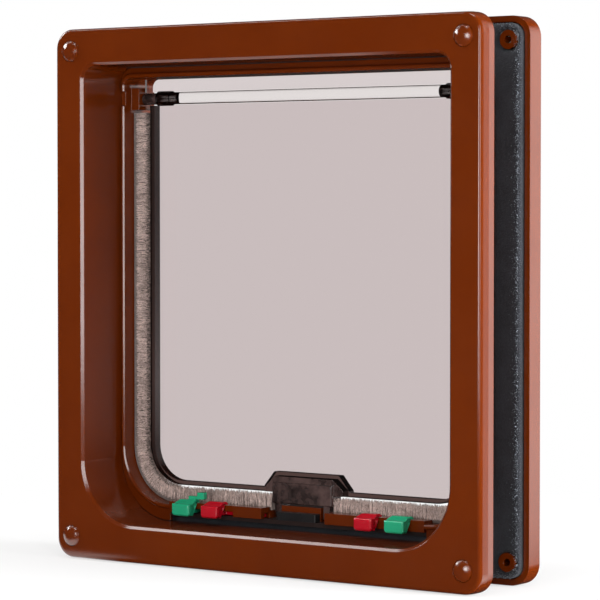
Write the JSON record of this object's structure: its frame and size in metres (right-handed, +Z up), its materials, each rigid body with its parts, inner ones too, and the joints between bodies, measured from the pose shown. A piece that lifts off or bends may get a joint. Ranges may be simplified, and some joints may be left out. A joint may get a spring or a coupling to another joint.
{
  "type": "cat flap",
  "caption": "Self-lining cat flap for a door: two moulded frames with a telescoping tunnel, a tinted swinging flap with a magnet, pile seals and sliding locks on the sill.",
  "frame": {"origin": "middle of the part's foot: centred in X and Y, on the lower edges of the two frames", "axes": "+X to the right seen from indoors, +Y outdoors through the door, +Z up"},
  "size_m": [0.2046, 0.045, 0.215],
  "materials": {
    "brown_plastic": "gloss",
    "tinted_panel": "polished",
    "dark_plastic": "gloss",
    "seal_foam": "matte",
    "grey_pile": "matte",
    "magnet": "matte",
    "green_plastic": "gloss",
    "red_plastic": "gloss"
  },
  "bodies": {
    "frame": {"inner_frame": "brown_plastic", "outer_frame": "brown_plastic", "screw_cap_top_left": "brown_plastic", "screw_cap_top_right": "brown_plastic", "screw_cap_bottom_left": "brown_plastic", "screw_cap_bottom_right": "brown_plastic", "door_seal": "seal_foam", "sill_cover": "dark_plastic", "sill_magnet": "magnet", "pile_strip_left": "grey_pile", "pile_strip_right": "grey_pile"},
    "flap": {"flap_panel": "tinted_panel", "magnet_holder": "dark_plastic", "flap_magnet": "magnet", "hinge_pivot_left": "dark_plastic", "hinge_pivot_right": "dark_plastic"},
    "lock_green_left": {"lock_green_left": "green_plastic"},
    "lock_red_left": {"lock_red_left": "red_plastic"},
    "lock_red_right": {"lock_red_right": "red_plastic"},
    "lock_green_right": {"lock_green_right": "green_plastic"}
  },
  "joints": [
    {"name": "flap_swing", "type": "hinge", "parent": "frame", "child": "flap", "pos_m": [0, 0.0116, 0.1872], "axis": [1, 0, 0], "range_deg": [-85, 85]},
    {"name": "lock_green_left_slide", "type": "slide", "parent": "frame", "child": "lock_green_left", "axis": [1, 0, 0], "range_m": [0, 0.005]},
    {"name": "lock_red_left_slide", "type": "slide", "parent": "frame", "child": "lock_red_left", "axis": [1, 0, 0], "range_m": [0, 0.005]},
    {"name": "lock_red_right_slide", "type": "slide", "parent": "frame", "child": "lock_red_right", "axis": [-1, 0, 0], "range_m": [0, 0.005]},
    {"name": "lock_green_right_slide", "type": "slide", "parent": "frame", "child": "lock_green_right", "axis": [-1, 0, 0], "range_m": [0, 0.005]}
  ]
}
